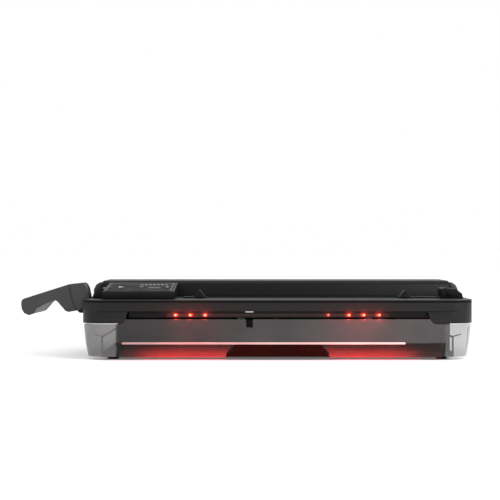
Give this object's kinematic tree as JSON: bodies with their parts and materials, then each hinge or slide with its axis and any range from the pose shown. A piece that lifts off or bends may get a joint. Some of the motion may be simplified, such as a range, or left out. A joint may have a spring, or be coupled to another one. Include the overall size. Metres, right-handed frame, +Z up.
{
  "type": "skate sharpener",
  "caption": "Long bench-top ice skate sharpener with a clamping slot in its deck, a clamp lever, a drop-down smoky door and a grinding carriage inside.",
  "frame": {"origin": "centre of the overall box, on the surface that the feet stand on", "axes": "+X along the deck towards the end without the lever, +Y towards the rear ridge, +Z up"},
  "size_m": [0.7486, 0.28, 0.125],
  "materials": {
    "housing_plastic": "fine satin texture",
    "black_plastic": "satin",
    "ridge_plastic": "soft gloss",
    "cap_plastic": "satin grey",
    "panel_film": "satin film",
    "key_plastic": "satin",
    "display_glass": "gloss",
    "light_bar": "gloss, tinted",
    "led_red": "lit red",
    "circuit_green": "solder mask",
    "steel": "turned",
    "jaw_alloy": "milled",
    "motor_metal": "satin",
    "carriage_plastic": "satin",
    "bush_bronze": "turned",
    "ring_abrasive": "gritty",
    "nut_plastic": "satin",
    "lever_plastic": "satin grey",
    "pad_plastic": "satin light grey",
    "switch_red": "gloss",
    "belt_rubber": "ribbed",
    "foot_rubber": "matt",
    "filter_paper": "pleated",
    "smoke_clear": "smoky clear polycarbonate"
  },
  "bodies": {
    "housing": {"base_pan": "black_plastic", "feet": "foot_rubber", "pan_screws": "steel", "dust_ramp": "black_plastic", "chamber_wall_left": "black_plastic", "chamber_wall_right": "black_plastic", "rear_panel": "black_plastic", "top_cover": "housing_plastic", "rear_ridge": "ridge_plastic", "ridge_caps": "cap_plastic", "slot_blocks": "black_plastic", "corner_blocks": "housing_plastic", "status_fascia": "black_plastic", "status_light_bar": "light_bar", "status_leds": "led_red", "chamber_lights": "led_red", "control_pod": "black_plastic", "control_panel": "panel_film", "display_window": "display_glass", "control_board": "circuit_green", "power_supply": "jaw_alloy", "power_inlet": "black_plastic", "lever_bracket": "black_plastic", "lever_pin": "steel", "drawbar_spring": "steel", "jaw_studs": "steel", "rail_hangers": "jaw_alloy", "guide_rods": "steel", "rod_brackets": "jaw_alloy", "stepper_motor": "motor_metal", "idler_pin": "steel", "drive_belt": "belt_rubber", "blower_housing": "black_plastic"},
    "lever": {"clamp_lever": "lever_plastic", "lever_grip_pad": "pad_plastic"},
    "drawbar": {"drawbar": "steel"},
    "front_jaw": {"jaw_front": "jaw_alloy"},
    "rear_jaw": {"jaw_rear": "jaw_alloy"},
    "door": {"front_door": "smoke_clear", "door_tab": "black_plastic"},
    "carriage": {"carriage": "carriage_plastic", "carriage_bushes": "bush_bronze", "arm_pin": "steel", "arm_spring": "steel"},
    "arm": {"motor_arm": "jaw_alloy", "grinding_motor": "motor_metal"},
    "grinding_wheel": {"spindle": "steel", "grinding_ring": "ring_abrasive", "ring_nut": "nut_plastic"},
    "drive_wheel": {"drive_pulley": "jaw_alloy"},
    "idler_wheel": {"idler_pulley": "jaw_alloy"},
    "impeller": {"blower_impeller": "carriage_plastic"},
    "filter": {"filter_drawer": "black_plastic", "air_filter": "filter_paper"},
    "left_cover": {"slot_cover_left": "black_plastic"},
    "right_cover": {"slot_cover_right": "black_plastic"},
    "start_key": {"start_button": "key_plastic"},
    "minus_key": {"minus_button": "key_plastic"},
    "plus_key": {"plus_button": "key_plastic"},
    "rocker": {"power_switch": "switch_red"}
  },
  "joints": [
    {"name": "lever_pivot", "type": "hinge", "parent": "housing", "child": "lever", "pos_m": [-0.2942, -0.048, 0.097], "axis": [0, 1, 0], "range_deg": [0, 65]},
    {"name": "drawbar_slide", "type": "slide", "parent": "housing", "child": "drawbar", "axis": [1, 0, 0], "range_m": [-0.009, 0], "deforming": ["drawbar_spring"]},
    {"name": "front_jaw_slide", "type": "slide", "parent": "housing", "child": "front_jaw", "axis": [0, -1, 0], "range_m": [0, 0.003]},
    {"name": "rear_jaw_slide", "type": "slide", "parent": "housing", "child": "rear_jaw", "axis": [0, 1, 0], "range_m": [0, 0.003]},
    {"name": "door_hinge", "type": "hinge", "parent": "housing", "child": "door", "pos_m": [0.0543, -0.124, 0.0105], "axis": [1, 0, 0], "range_deg": [0, 70]},
    {"name": "carriage_slide", "type": "slide", "parent": "housing", "child": "carriage", "axis": [1, 0, 0], "range_m": [-0.14, 0.14]},
    {"name": "arm_pivot", "type": "hinge", "parent": "carriage", "child": "arm", "pos_m": [0.0943, 0, 0.028], "axis": [0, 1, 0], "range_deg": [0, 6], "deforming": ["arm_spring"]},
    {"name": "ring_spin", "type": "hinge", "parent": "arm", "child": "grinding_wheel", "pos_m": [0.0543, -0.048, 0.038], "axis": [0, 1, 0], "continuous": true},
    {"name": "drive_pulley_spin", "type": "hinge", "parent": "housing", "child": "drive_wheel", "pos_m": [-0.1707, 0.065, 0.048], "axis": [0, 0, 1], "continuous": true},
    {"name": "idler_pulley_spin", "type": "hinge", "parent": "housing", "child": "idler_wheel", "pos_m": [0.2443, 0.065, 0.048], "axis": [0, 0, 1], "continuous": true},
    {"name": "impeller_spin", "type": "hinge", "parent": "housing", "child": "impeller", "pos_m": [0.2993, 0.067, 0.03], "axis": [0, 0, 1], "continuous": true},
    {"name": "filter_slide", "type": "slide", "parent": "housing", "child": "filter", "axis": [1, 0, 0], "range_m": [0, 0.07]},
    {"name": "left_cover_slide", "type": "slide", "parent": "housing", "child": "left_cover", "axis": [1, 0, 0], "range_m": [0, 0.1]},
    {"name": "right_cover_slide", "type": "slide", "parent": "housing", "child": "right_cover", "axis": [-1, 0, 0], "range_m": [0, 0.12]},
    {"name": "start_press", "type": "slide", "parent": "housing", "child": "start_key", "axis": [0, 0.0976, -0.9952], "range_m": [0, 0.0012], "stiffness_N_per_m": 600},
    {"name": "minus_press", "type": "slide", "parent": "housing", "child": "minus_key", "axis": [0, 0.0976, -0.9952], "range_m": [0, 0.0012], "stiffness_N_per_m": 600},
    {"name": "plus_press", "type": "slide", "parent": "housing", "child": "plus_key", "axis": [0, 0.0976, -0.9952], "range_m": [0, 0.0012], "stiffness_N_per_m": 600},
    {"name": "switch_tilt", "type": "hinge", "parent": "housing", "child": "rocker", "pos_m": [0.2953, 0.133, 0.111], "axis": [1, 0, 0], "range_deg": [0, 14]}
  ],
  "couplings": [
    {"joint": "drawbar_slide", "follows": "lever_pivot", "m_per_rad": -0.0079333},
    {"joint": "front_jaw_slide", "follows": "lever_pivot", "m_per_rad": 0.0026444},
    {"joint": "rear_jaw_slide", "follows": "lever_pivot", "m_per_rad": 0.0026444},
    {"joint": "drive_pulley_spin", "follows": "carriage_slide", "rad_per_m": -138.89},
    {"joint": "idler_pulley_spin", "follows": "carriage_slide", "rad_per_m": -138.89}
  ]
}
